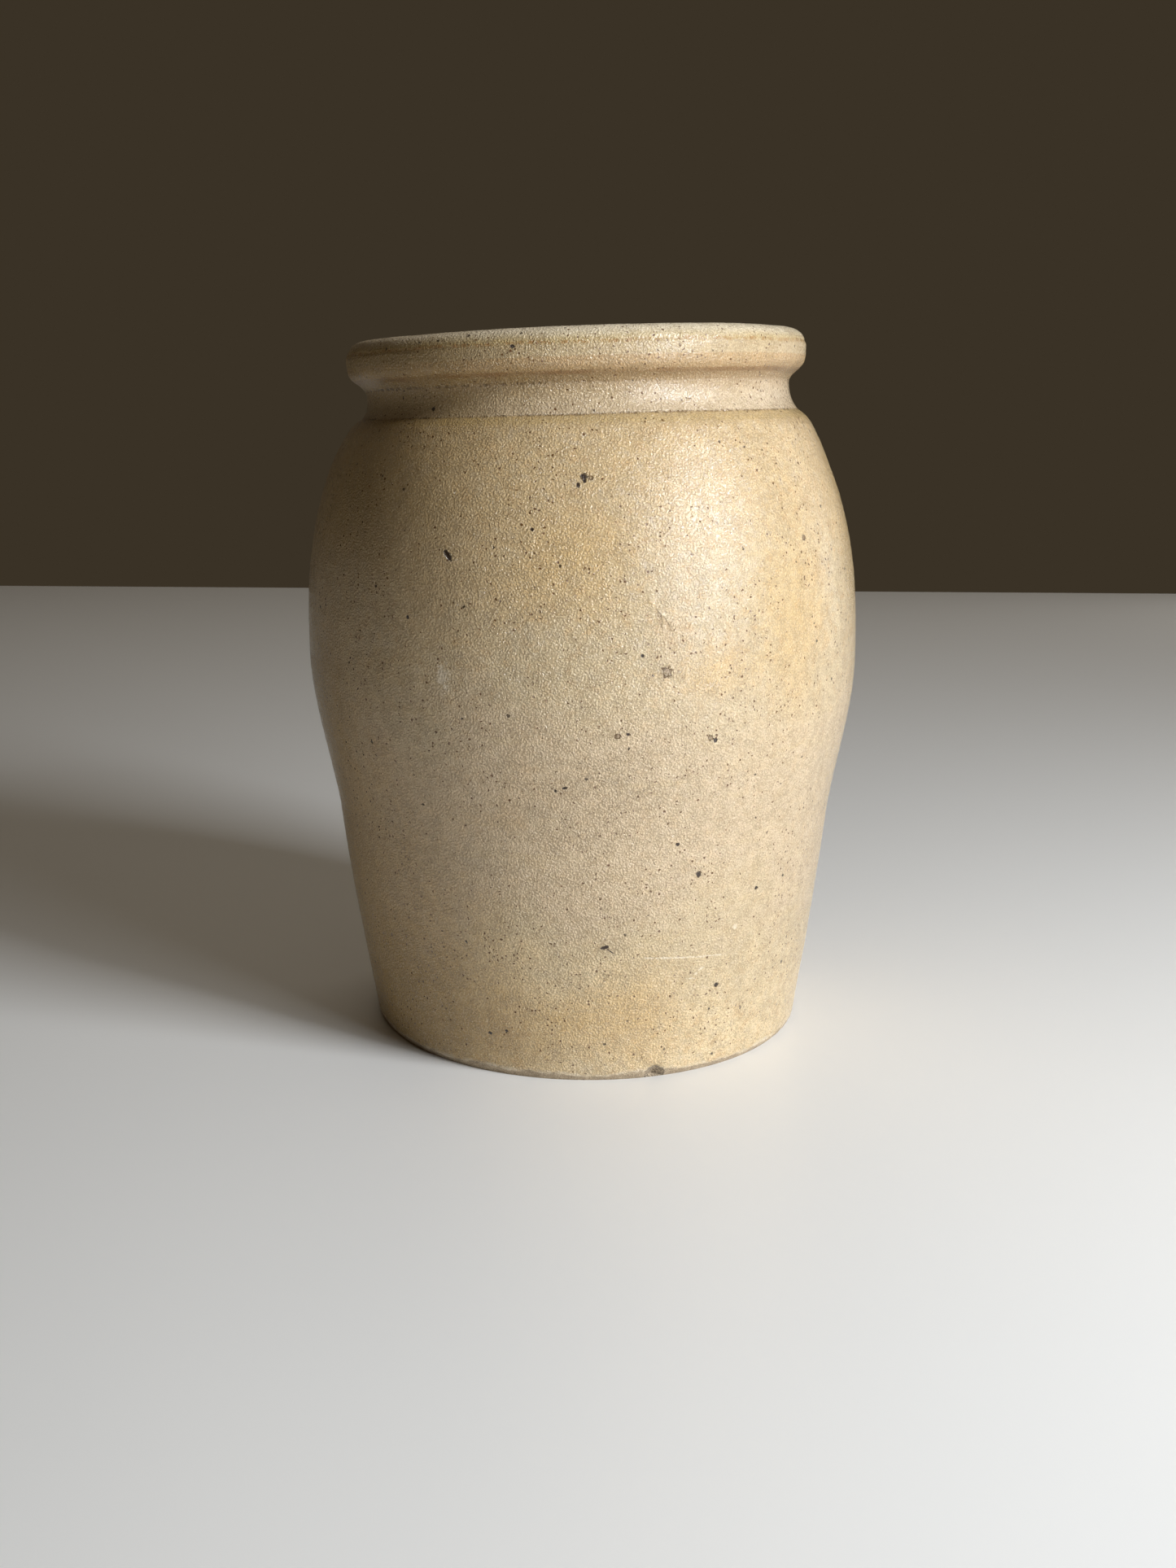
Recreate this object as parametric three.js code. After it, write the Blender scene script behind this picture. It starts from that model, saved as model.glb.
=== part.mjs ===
// A salt-glazed stoneware jar, used as a vase: flat foot, straight lower wall,
// full belly, rounded shoulder, short grooved neck and a heavy rolled collar.
// Millimetres, +Z up, origin at the middle of the flat underside.
//
// The potter built it in stages, and each stage is one closed solid here.
// They rest on each other at flat joints:
//   base_slab, lower_wall, belly_wall, shoulder_wall, neck_band, rim_collar
import * as THREE from "three";

// ---------------------------------------------------------------- heights
const HEIGHT = 235;          // rim above the underside, at the middle of the mouth
const FLOOR = 10;            // thickness of the base slab
const KINK = 78;             // where the lower wall was joined to the belly
const BELLY = 131;           // widest level
const SHOULDER = 203;        // where the shoulder starts to round over
const CREASE = 209.6;        // sharp line between shoulder and neck
const GROOVE = 217;          // narrowest level of the neck, where a cover string ties
const COLLAR = 219;          // underside of the collar

// ------------------------------------------------------------ outer radii
const FOOT_RADIUS = 75.4;    // wall just above the bevelled foot
const KINK_RADIUS = 85.9;
const BELLY_RADIUS = 94;
const SHOULDER_RADIUS = 79;
const CREASE_RADIUS = 73.1;
const GROOVE_RADIUS = 70.5;
const NECK_TOP_RADIUS = 70.9;
const UNDERSIDE_RADIUS = 72.8; // where the hollow under the collar turns into its round
const COLLAR_RADIUS = 76.4;

// ------------------------- slopes of the outside, radius per unit of height
const LOWER_BULGE = 0.03;    // how much the lower wall's slope eases from foot to kink
const KINK_SLOPE = 0.15;     // just above the kink
const SHOULDER_SLOPE = -0.55;
const SHOULDER_END_SLOPE = -1.7;
const NECK_SLOPE = -0.85;    // just above the crease
const NECK_TOP_SLOPE = 0.45;
const UNDERSIDE_SLOPE = 1.3; // steepest part of the collar's underside

// ------------------------------------------- wall, bevel and edge rounding
const WALL = 8;              // wall of the belly and of the lower wall
const MOUTH_RADIUS = 64.6;   // inside of the neck and of the collar
const MOUTH_FLARE = 0.6;     // how much the mouth opens out at the rim and over the shoulder
const NECK_BORE = 64;        // inside of the neck at its narrowest
const FOOT_BEVEL = 2;        // height of the bevel round the foot
const FOOT_INSET = 1.2;      // how far the bevel cuts in
const FILLET_REACH = 9;      // inner corner between wall and floor
const FILLET_RISE = 14;
const FILLET_SLOPE = 1.6;    // slope of the fillet where it meets the floor
const INNER_NECK_SLOPE = 0.2; // slope of the bore above and below its narrowest level
const UNDERSIDE_RISE = 2.2;  // height of the hollow under the collar
const BAND_LOW = 7.2;        // the collar turns upright this far above its underside
const RIM_OUTER_ROUND = 6;
const RIM_INNER_ROUND = 3.2;

// ------------------------------------- how far the hand-made jar is askew
const LEAN = 0.0145;         // sideways drift of the axis towards -X, per unit of height
const NECK_SHIFT = 1.55;     // further shift of the neck and collar towards -X
const SHIFT_START = 200;
const SHIFT_END = 228;
const RIM_TILT = 0.039;      // rise of the neck and collar towards +X, per unit of X
const TILT_START = 191;
const TILT_END = 218;

const SEGMENTS = 56;         // round the jar
const CURVE_STEPS = 5;       // along each curve of an outline
const ROUND_STEPS = 3;       // along each rounded edge

// A station is a point on an outline and the slope of the radius there.
function station(radius, height, slope = 0) {
  return { radius, height, slope };
}

// Points of the smooth curve through two stations.
function sweep(from, to, steps = CURVE_STEPS) {
  const third = (to.height - from.height) / 3;
  const curve = new THREE.CubicBezierCurve(
    new THREE.Vector2(from.radius, from.height),
    new THREE.Vector2(from.radius + from.slope * third, from.height + third),
    new THREE.Vector2(to.radius - to.slope * third, to.height - third),
    new THREE.Vector2(to.radius, to.height),
  );
  return curve.getPoints(steps);
}

// Points of a quarter round between an upright face and a level one.
function quarterRound(centreRadius, centreHeight, size, fromAngle, toAngle) {
  const curve = new THREE.EllipseCurve(
    centreRadius, centreHeight, size, size, fromAngle, toAngle, toAngle < fromAngle);
  return curve.getPoints(ROUND_STEPS);
}

// The outline as one list, without the points that two stretches share.
function join(...stretches) {
  const points = [];
  for (const point of stretches.flat()) {
    const last = points.at(-1);
    if (!last || last.distanceTo(point) > 1e-6) {
      points.push(point);
    }
  }
  return points;
}

// Moves a point of the true-running jar to its place in the leaning one.
function settle(x, z) {
  const shift = LEAN * z + NECK_SHIFT * THREE.MathUtils.smoothstep(z, SHIFT_START, SHIFT_END);
  const leaned = x - shift;
  const rise = RIM_TILT * leaned * THREE.MathUtils.smoothstep(z, TILT_START, TILT_END);
  return [leaned, z + rise];
}

// Turns an outline about the axis, sets it upright, and lets it lean.
function turn(name, outline, colour, roughness) {
  const geometry = new THREE.LatheGeometry(outline, SEGMENTS);
  geometry.rotateX(Math.PI / 2);
  const position = geometry.attributes.position;
  for (let i = 0; i < position.count; i += 1) {
    const [x, z] = settle(position.getX(i), position.getZ(i));
    position.setX(i, x);
    position.setZ(i, z);
  }
  geometry.computeVertexNormals();
  const material = new THREE.MeshStandardMaterial({ color: colour, roughness, metalness: 0 });
  const mesh = new THREE.Mesh(geometry, material);
  mesh.name = name;
  return mesh;
}

// ------------------------------------------------------- shared stations
// The inside follows the outside at the thickness of the wall.
const lowerSlope = (KINK_RADIUS - FOOT_RADIUS) / (KINK - FOOT_BEVEL);
const slabTopRadius = FOOT_RADIUS + lowerSlope * (FLOOR - FOOT_BEVEL);
const slabTop = station(slabTopRadius, FLOOR, lowerSlope + LOWER_BULGE);
const kinkBelow = station(KINK_RADIUS, KINK, lowerSlope - LOWER_BULGE);
const kinkAbove = station(KINK_RADIUS, KINK, KINK_SLOPE);
const belly = station(BELLY_RADIUS, BELLY);
const shoulder = station(SHOULDER_RADIUS, SHOULDER, SHOULDER_SLOPE);
const shoulderEnd = station(CREASE_RADIUS, CREASE, SHOULDER_END_SLOPE);
const crease = station(CREASE_RADIUS, CREASE, NECK_SLOPE);
const groove = station(GROOVE_RADIUS, GROOVE);
const neckTop = station(NECK_TOP_RADIUS, COLLAR, NECK_TOP_SLOPE);

const innerFoot = station(slabTopRadius - WALL + lowerSlope * FILLET_RISE, FLOOR + FILLET_RISE, lowerSlope);
const innerKink = station(KINK_RADIUS - WALL, KINK, lowerSlope);
const innerKinkAbove = station(KINK_RADIUS - WALL, KINK, KINK_SLOPE);
const innerBelly = station(BELLY_RADIUS - WALL, BELLY);
const innerShoulder = station(SHOULDER_RADIUS - WALL, SHOULDER, SHOULDER_SLOPE);
const innerCrease = station(MOUTH_RADIUS + MOUTH_FLARE, CREASE, -INNER_NECK_SLOPE);
const innerGroove = station(NECK_BORE, GROOVE);
const innerCollar = station(MOUTH_RADIUS, COLLAR, INNER_NECK_SLOPE);

// ---------------------------------------------------------------- outlines
// Each outline runs up the outside and back down the inside.
function baseSlab() {
  const outline = [
    new THREE.Vector2(0, 0),
    new THREE.Vector2(FOOT_RADIUS - FOOT_INSET, 0),
    new THREE.Vector2(FOOT_RADIUS, FOOT_BEVEL),
    new THREE.Vector2(slabTopRadius, FLOOR),
    new THREE.Vector2(innerFoot.radius - FILLET_REACH, FLOOR),
    new THREE.Vector2(0, FLOOR),
  ];
  return turn("base_slab", outline, 0x8d857a, 0.8);
}

function lowerWall() {
  const toe = station(innerFoot.radius - FILLET_REACH, FLOOR, FILLET_SLOPE);
  const outside = sweep(slabTop, kinkBelow);
  const inside = sweep(innerKink, innerFoot);
  const fillet = sweep(innerFoot, toe, ROUND_STEPS);
  const outline = join(outside, inside, fillet, [outside[0]]);
  return turn("lower_wall", outline, 0xa89878, 0.45);
}

function bellyWall() {
  const outside = sweep(kinkAbove, belly);
  const inside = sweep(innerBelly, innerKinkAbove);
  return turn("belly_wall", join(outside, inside, [outside[0]]), 0xad9873, 0.4);
}

function shoulderWall() {
  const outside = join(sweep(belly, shoulder), sweep(shoulder, shoulderEnd, ROUND_STEPS));
  const inside = join(sweep(innerCrease, innerShoulder, ROUND_STEPS), sweep(innerShoulder, innerBelly));
  return turn("shoulder_wall", join(outside, inside, [outside[0]]), 0xb39a66, 0.38);
}

function neckBand() {
  const outside = join(sweep(crease, groove, ROUND_STEPS), sweep(groove, neckTop, ROUND_STEPS));
  const inside = join(
    sweep(innerCollar, innerGroove, ROUND_STEPS),
    sweep(innerGroove, innerCrease, ROUND_STEPS),
  );
  return turn("neck_band", join(outside, inside, [outside[0]]), 0xa9957a, 0.35);
}

function rimCollar() {
  const underside = station(UNDERSIDE_RADIUS, COLLAR + UNDERSIDE_RISE, UNDERSIDE_SLOPE);
  const bandLow = station(COLLAR_RADIUS, COLLAR + BAND_LOW);
  const bandHigh = station(COLLAR_RADIUS, HEIGHT - RIM_OUTER_ROUND);
  const innerRim = station(MOUTH_RADIUS + MOUTH_FLARE, HEIGHT - RIM_INNER_ROUND);
  const outline = join(
    sweep(neckTop, underside, 2),
    sweep(underside, bandLow, 4),
    sweep(bandLow, bandHigh, 2),
    quarterRound(COLLAR_RADIUS - RIM_OUTER_ROUND, bandHigh.height, RIM_OUTER_ROUND, 0, Math.PI / 2),
    quarterRound(innerRim.radius + RIM_INNER_ROUND, innerRim.height, RIM_INNER_ROUND, Math.PI / 2, Math.PI),
    sweep(innerRim, innerCollar, 2),
  );
  return turn("rim_collar", join(outline, [outline[0]]), 0xad9a78, 0.4);
}

const jar = new THREE.Group();
jar.add(baseSlab(), lowerWall(), bellyWall(), shoulderWall(), neckBand(), rimCollar());

export default jar;
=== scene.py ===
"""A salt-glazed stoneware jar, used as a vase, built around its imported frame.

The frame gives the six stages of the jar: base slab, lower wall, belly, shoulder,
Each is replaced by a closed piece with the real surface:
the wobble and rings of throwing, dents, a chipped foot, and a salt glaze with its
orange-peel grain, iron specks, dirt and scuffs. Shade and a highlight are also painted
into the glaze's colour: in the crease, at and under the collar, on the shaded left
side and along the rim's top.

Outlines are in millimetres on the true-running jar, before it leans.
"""
import math

import bpy
import numpy as np
from mathutils import Matrix, Vector


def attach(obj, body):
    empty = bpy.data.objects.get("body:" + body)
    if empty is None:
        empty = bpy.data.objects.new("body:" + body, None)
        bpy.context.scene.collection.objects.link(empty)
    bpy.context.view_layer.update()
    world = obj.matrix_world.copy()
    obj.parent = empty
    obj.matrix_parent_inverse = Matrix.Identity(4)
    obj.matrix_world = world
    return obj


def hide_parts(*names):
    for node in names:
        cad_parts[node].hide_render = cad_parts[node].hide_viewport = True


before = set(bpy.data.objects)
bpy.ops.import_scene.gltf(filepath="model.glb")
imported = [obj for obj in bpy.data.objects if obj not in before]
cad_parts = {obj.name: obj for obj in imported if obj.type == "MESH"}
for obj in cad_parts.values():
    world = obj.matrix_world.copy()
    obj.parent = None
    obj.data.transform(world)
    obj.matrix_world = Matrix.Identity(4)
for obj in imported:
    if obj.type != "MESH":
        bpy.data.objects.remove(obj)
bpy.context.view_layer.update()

MM = 0.001
TINY = 0.01
TURN = 2 * math.pi

# --------------------------------------------------------------- dimensions, mm
HEIGHT = 235.0
FLOOR = 10.0
KINK = 78.0
BELLY = 131.0
SHOULDER = 203.0
CREASE = 209.6
GROOVE = 217.0
COLLAR = 219.0
UNDERSIDE = 221.2
UNDER_ROUND = 224.0
BAND_LOW = 226.4

FOOT_RADIUS = 75.4
KINK_RADIUS = 85.9
BELLY_RADIUS = 94.0
SHOULDER_RADIUS = 79.0
CREASE_RADIUS = 73.1
GROOVE_RADIUS = 70.5
NECK_TOP_RADIUS = 70.9
UNDERSIDE_RADIUS = 72.8
COLLAR_RADIUS = 76.4
MOUTH_RADIUS = 64.6
NECK_BORE = 64.0
WALL = 8.0

FOOT_BEVEL = 2.0
FOOT_INSET = 1.2
FILLET_REACH = 9.0
FILLET_RISE = 14.0
RIM_OUTER_ROUND = 6.0
RIM_INNER_ROUND = 3.6
LOWER_SLOPE = (KINK_RADIUS - FOOT_RADIUS) / (KINK - FOOT_BEVEL)
SLAB_TOP_RADIUS = FOOT_RADIUS + LOWER_SLOPE * (FLOOR - FOOT_BEVEL)
INNER_FOOT_RADIUS = SLAB_TOP_RADIUS - WALL + LOWER_SLOPE * FILLET_RISE
TOE_RADIUS = INNER_FOOT_RADIUS - FILLET_REACH

# How far the hand-made jar is askew.
LEAN = 0.0145
NECK_SHIFT = 1.55
SHIFT_START, SHIFT_END = 200.0, 228.0
RIM_TILT = 0.039
TILT_START, TILT_END = 191.0, 218.0

# --------------------------------------------------------------- mesh fineness
COLUMNS = 600
OUTSIDE_STEP = 1.0
EDGE_STEP = 0.55
INSIDE_STEP = 2.6
DISC_STEP = 4.0


def smooth(value, low, high):
    """0 below low, 1 above high, and an easy curve between."""
    t = np.clip((value - low) / (high - low), 0.0, 1.0)
    return t * t * (3 - 2 * t)


def station(radius, height, slope=0.0):
    """A point on an outline, with the radius's slope per unit of height there."""
    return radius, height, slope


def sweep(start, end, step):
    """Points of the smooth curve through two stations, without the last one."""
    r0, z0, s0 = start
    r1, z1, s1 = end
    third = (z1 - z0) / 3
    corners = np.array([
        (r0, z0), (r0 + s0 * third, z0 + third), (r1 - s1 * third, z1 - third), (r1, z1)])
    count = max(2, round(math.hypot(r1 - r0, z1 - z0) / step))
    t = np.arange(count)[:, None] / count
    weights = ((1 - t) ** 3, 3 * t * (1 - t) ** 2, 3 * t * t * (1 - t), t ** 3)
    return sum(weight * corner for weight, corner in zip(weights, corners))


def straight(start, end, step):
    """Points of a straight line between two points, without the last one."""
    start, end = np.array(start, float), np.array(end, float)
    count = max(1, round(float(np.linalg.norm(end - start)) / step))
    return start + (end - start) * np.arange(count)[:, None] / count


def quarter(centre, radius, start, end, step):
    """Points of a quarter of a circle, without the last one."""
    count = max(3, round(abs(end - start) * radius / step))
    angle = start + (end - start) * np.arange(count) / count
    return np.array(centre) + radius * np.stack([np.cos(angle), np.sin(angle)], axis=1)


# ---------------------------------------------------------------- the outline
# How much the lower wall's slope changes from each end, so that it bows slightly;
# the outer ring of the underside that is built finely; and the radius of the middle
# of each disc, which one point closes.
BOW = 0.03
FOOT_RING = 2.0
CENTRE_HOLE = 0.6


def outline():
    """The jar's whole section, from the middle of the underside, up the outside,
    over the rim and down the inside to the middle of the floor. Each stretch is
    (node, whether it is inside, points)."""
    foot = station(FOOT_RADIUS, FOOT_BEVEL, LOWER_SLOPE + BOW)
    slab_top = station(SLAB_TOP_RADIUS, FLOOR, LOWER_SLOPE + BOW)
    kink_below = station(KINK_RADIUS, KINK, LOWER_SLOPE - BOW)
    kink_above = station(KINK_RADIUS, KINK, 0.15)
    belly = station(BELLY_RADIUS, BELLY)
    shoulder = station(SHOULDER_RADIUS, SHOULDER, -0.55)
    shoulder_end = station(CREASE_RADIUS, CREASE, -1.7)
    crease = station(CREASE_RADIUS, CREASE, -0.85)
    groove = station(GROOVE_RADIUS, GROOVE)
    neck_top = station(NECK_TOP_RADIUS, COLLAR, 0.45)
    underside = station(UNDERSIDE_RADIUS, UNDERSIDE, 1.3)
    under_round = station(COLLAR_RADIUS - 0.72, UNDER_ROUND, 0.45)
    band_low = station(COLLAR_RADIUS - 0.1, BAND_LOW, 0.2)
    inner_collar = station(MOUTH_RADIUS, COLLAR, 0.2)
    inner_groove = station(NECK_BORE, GROOVE)
    inner_crease = station(MOUTH_RADIUS + 0.6, CREASE, -0.2)
    inner_shoulder = station(SHOULDER_RADIUS - WALL, SHOULDER, -0.55)
    inner_belly = station(BELLY_RADIUS - WALL, BELLY)
    inner_kink_above = station(KINK_RADIUS - WALL, KINK, 0.15)
    inner_kink = station(KINK_RADIUS - WALL, KINK, LOWER_SLOPE)
    inner_foot = station(INNER_FOOT_RADIUS, FLOOR + FILLET_RISE, LOWER_SLOPE)
    toe = station(TOE_RADIUS, FLOOR, 1.6)

    flat_radius = FOOT_RADIUS - FOOT_INSET
    band_high = HEIGHT - RIM_OUTER_ROUND
    outer_round = (COLLAR_RADIUS - RIM_OUTER_ROUND, band_high)
    inner_rim = MOUTH_RADIUS + 0.6
    inner_round = (inner_rim + RIM_INNER_ROUND, HEIGHT - RIM_INNER_ROUND)
    right, up, left = 0.0, math.pi / 2, math.pi
    return [
        ("base_slab", False, straight((CENTRE_HOLE, 0), (flat_radius - FOOT_RING, 0), DISC_STEP)),
        ("base_slab", False, straight((flat_radius - FOOT_RING, 0), (flat_radius, 0), EDGE_STEP)),
        ("base_slab", False, straight((flat_radius, 0), (FOOT_RADIUS, FOOT_BEVEL), EDGE_STEP)),
        ("base_slab", False, sweep(foot, slab_top, EDGE_STEP)),
        ("lower_wall", False, sweep(slab_top, kink_below, OUTSIDE_STEP)),
        ("belly_wall", False, sweep(kink_above, belly, OUTSIDE_STEP)),
        ("shoulder_wall", False, sweep(belly, shoulder, OUTSIDE_STEP)),
        ("shoulder_wall", False, sweep(shoulder, shoulder_end, EDGE_STEP)),
        ("neck_band", False, sweep(crease, groove, EDGE_STEP)),
        ("neck_band", False, sweep(groove, neck_top, EDGE_STEP)),
        ("rim_collar", False, sweep(neck_top, underside, EDGE_STEP)),
        ("rim_collar", False, sweep(underside, under_round, EDGE_STEP)),
        ("rim_collar", False, sweep(under_round, band_low, EDGE_STEP)),
        ("rim_collar", False, straight(band_low[:2], (COLLAR_RADIUS, band_high), EDGE_STEP)),
        ("rim_collar", False, quarter(outer_round, RIM_OUTER_ROUND, right, up, EDGE_STEP)),
        ("rim_collar", False, straight((outer_round[0], HEIGHT), (inner_round[0], HEIGHT), EDGE_STEP)),
        ("rim_collar", False, quarter(inner_round, RIM_INNER_ROUND, up, left, EDGE_STEP)),
        ("rim_collar", True, straight((inner_rim, inner_round[1]), (MOUTH_RADIUS, COLLAR), INSIDE_STEP)),
        ("neck_band", True, sweep(inner_collar, inner_groove, INSIDE_STEP)),
        ("neck_band", True, sweep(inner_groove, inner_crease, INSIDE_STEP)),
        ("shoulder_wall", True, sweep(inner_crease, inner_shoulder, INSIDE_STEP)),
        ("shoulder_wall", True, sweep(inner_shoulder, inner_belly, INSIDE_STEP)),
        ("belly_wall", True, sweep(inner_belly, inner_kink_above, INSIDE_STEP)),
        ("lower_wall", True, sweep(inner_kink, inner_foot, INSIDE_STEP)),
        ("lower_wall", True, sweep(inner_foot, toe, INSIDE_STEP)),
        ("base_slab", True, straight((TOE_RADIUS, FLOOR), (CENTRE_HOLE, FLOOR), DISC_STEP)),
        ("base_slab", True, np.array([(CENTRE_HOLE, FLOOR)])),
    ]


# ------------------------------------------------------------- surface relief
LATTICE = 48
BAND_GROOVE = 230.3
CHIP_ANGLE = -72.6
BITE_DEPTH = 2.2
# The scar's ridges and hollows: depth, (degrees round, height), half width, half
# height, slant.
SCAR = [
    (0.42, (-75.4, 151.6), 1.5, 4.5, 24), (-0.32, (-74.2, 150.0), 1.3, 3.2, 20),
    (0.32, (-77.2, 156.0), 1.3, 4.5, 16), (-0.2, (-76.2, 155.0), 1.2, 3.6, 16),
]


def noise(points, size, seed):
    """Smooth random values from -1 to 1, with lumps of about that size in mm."""
    lattice = np.random.default_rng(seed).uniform(-1, 1, (LATTICE, LATTICE, LATTICE))
    place = points / size
    cell = np.floor(place).astype(int)
    part = place - cell
    part = part * part * (3 - 2 * part)
    total = np.zeros(points.shape[:-1])
    for corner in np.ndindex(2, 2, 2):
        weight = np.ones(points.shape[:-1])
        for axis in range(3):
            weight = weight * (part[..., axis] if corner[axis] else 1 - part[..., axis])
        x, y, z = np.moveaxis((cell + corner) % LATTICE, -1, 0)
        total += weight * lattice[x, y, z]
    return total


def patch(angle, height, at, across, tall, slant=0.0):
    """1 in the middle of an oval patch on the outside and 0 beyond it. at is
    (degrees round from +X, height in mm), and the sizes are half widths in mm."""
    turn = (angle - math.radians(at[0]) + math.pi) % TURN - math.pi
    along = turn * BELLY_RADIUS
    up = height - at[1]
    c, s = math.cos(math.radians(slant)), math.sin(math.radians(slant))
    distance = np.hypot((along * c + up * s) / across, (up * c - along * s) / tall)
    return 1 - smooth(distance, 0.0, 1.0)


def throwing_rings(true, height, angle, inside):
    """Spiral rings: faint on the wiped outside, stronger on the inside."""
    turns = angle / TURN

    def spiral(depth, pitch):
        return depth * np.sin(TURN * (height / pitch + turns))

    outer = spiral(0.035, 5.1) + spiral(0.02, 2.3)
    inner = spiral(0.42, 9.5) + spiral(0.12, 4.1)
    strength = 0.6 + 0.4 * noise(true, 30, 14)
    return strength * np.where(inside, inner, outer)


def collar_lines(true, height, inside):
    """Drawn lines round the collar: two grooves that come and go, and wipe lines."""
    round_the_jar = true * np.array((1.0, 1.0, 0.0))
    wander = 0.7 * noise(round_the_jar, 24, 17)
    along = 0.5 + 0.5 * noise(round_the_jar, 13, 18)

    def groove(depth, at, width):
        return depth * np.exp(-((height - at - wander) / width) ** 2)

    grooves = along * groove(0.4, BAND_GROOVE, 0.5) + (1 - along) * groove(0.16, BAND_GROOVE + 1.4, 0.35)
    wipes = 0.07 * noise(true * np.array((0.09, 0.09, 1.0)), 1.5, 15)
    band = smooth(height, BAND_LOW + 0.1, BAND_LOW + 1.6) * (1 - smooth(height, HEIGHT - 3.5, HEIGHT - 1.0))
    return band * (1 - inside) * (wipes - grooves)


def foot_damage(true, radius, height, angle, inside):
    """A nibbled edge round the foot, and the bite out of it."""
    foot = (1 - smooth(height, 1.5, 4.0)) * smooth(radius, FOOT_RADIUS - 4, FOOT_RADIUS - 1)
    nibbles = -0.35 * foot * np.clip(noise(true, 3.1, 16) - 0.1, 0, 1)
    bite = np.maximum(-2.6 * patch(angle, height, (CHIP_ANGLE, 0.6), 5.2, 5.0), -BITE_DEPTH)
    return (nibbles + bite) * (1 - inside)


def knocks(true, height, angle, inside):
    """The torn scar on the belly, and a shallow dent below it."""
    rough = 1.0 + 0.9 * noise(true, 1.8, 19)
    scar = 0.0
    for depth, at, across, tall, slant in SCAR:
        scar = scar + depth * patch(angle, height, at, across, tall, slant)
    dent = -0.2 * patch(angle, height, (-87, 98), 20, 14)
    return (rough * scar + dent) * (1 - inside)


def relief(true, radius, height, angle, inside):
    """How far the surface stands out from its outline, in mm."""
    oval = 0.22 * np.cos(2 * angle + 0.7) + 0.14 * np.cos(3 * angle + 2.1 + height / 90)
    lumps = 0.15 * noise(true, 27, 11) + 0.06 * noise(true, 9, 12) + 0.03 * noise(true, 3.4, 13)
    return (oval + lumps + throwing_rings(true, height, angle, inside) + collar_lines(true, height, inside)
            + foot_damage(true, radius, height, angle, inside) + knocks(true, height, angle, inside))


def settle(points):
    """Moves points of the true-running jar to their place in the leaning one."""
    x, y, z = points[..., 0], points[..., 1], points[..., 2]
    x = x - LEAN * z - NECK_SHIFT * smooth(z, SHIFT_START, SHIFT_END)
    rise = RIM_TILT * x * smooth(z, TILT_START, TILT_END)
    return np.stack([x, y, z + rise], axis=-1)


def surface():
    """The whole skin as rows of points: node names, inside flags, true places,
    final places in metres, and normals."""
    stretches = outline()
    nodes = [node for node, _, points in stretches for _ in points]
    inside = np.array([float(flag) for _, flag, points in stretches for _ in points])
    section = np.concatenate([points for _, _, points in stretches])
    angle = np.arange(COLUMNS) * TURN / COLUMNS
    radius, height = section[:, :1], section[:, 1:] + 0 * angle
    angle = angle + 0 * radius
    true = np.stack([radius * np.cos(angle), radius * np.sin(angle), height], axis=-1)

    along = np.gradient(section, axis=0)
    along /= np.linalg.norm(along, axis=1, keepdims=True)
    across, up = along[:, 1:], -along[:, :1]
    out = np.stack([across * np.cos(angle), across * np.sin(angle), up + 0 * angle], axis=-1)
    on_floor = (np.abs(height - FLOOR) < TINY) & (inside[:, None] > 0)
    flat = (height < TINY) | on_floor
    lift = relief(true, radius, height, angle, inside[:, None])
    lift = np.where(flat, 0.0, lift)
    # The foot stays flat, so near it the surface only moves sideways.
    out[..., 2] *= smooth(height, 2.0, 8.0)
    places = settle(true + out * lift[..., None]) * MM

    rows = np.gradient(places, axis=0)
    columns = np.roll(places, -1, axis=1) - np.roll(places, 1, axis=1)
    normals = np.cross(columns, rows)
    normals /= np.linalg.norm(normals, axis=-1, keepdims=True)
    return nodes, inside, true, places, normals


# --------------------------------------------------------------------- pieces
# Gaps left round each lane of the texture map.
LANE_GAP, SIDE_GAP = 0.01, 0.002


def strips(count, low, high, lane):
    """Where each face of one band of rows goes in the texture map: the band is cut
    into lanes round the jar, stacked between low and high."""
    column = np.arange(COLUMNS)
    wide = math.ceil(COLUMNS / lane)
    u0 = (column % wide) / wide
    u1 = u0 + 1 / wide
    tall = (high - low) / lane
    base = low + (column // wide) * tall
    v = np.arange(count + 1) / count * (1 - 2 * LANE_GAP) + LANE_GAP
    v0 = base[None] + v[:-1, None] * tall
    v1 = base[None] + v[1:, None] * tall
    u0 = u0 * (1 - 2 * SIDE_GAP) + SIDE_GAP + 0 * v0
    u1 = u1 * (1 - 2 * SIDE_GAP) + SIDE_GAP + 0 * v0
    corners = ((u0, v0), (u1, v0), (u1, v1), (u0, v1))
    return np.stack([np.stack(corner, -1) for corner in corners], 2)


def runs_of(name, nodes):
    """The rows of a node's outside and of its inside. A stretch ends on the first
    row of the next one, so neighbours share that row."""
    own = [row for row, node in enumerate(nodes) if node == name]
    breaks = [k for k in range(1, len(own)) if own[k] != own[k - 1] + 1]
    runs = [own[:breaks[0]], own[breaks[0]:]] if breaks else [own]
    return [run + [run[-1] + 1] if run[-1] + 1 < len(nodes) else run for run in runs]


def quads(lower, upper):
    """Four-sided faces between rows of points, all the way round."""
    return np.stack([lower, np.roll(lower, -1, -1), np.roll(upper, -1, -1), upper], -1)


DOWN, UP = np.array((0.0, 0.0, -1.0)), np.array((0.0, 0.0, 1.0))
# Shares of the texture map's height: outside and inside, both in one, and joints.
TWO_SHARES, ONE_SHARE, JOINT_SHARE = ((0.0, 0.86), (0.87, 0.975)), ((0.0, 0.975),), (0.98, 1.0)
CAP_CORNER = 0.99


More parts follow.
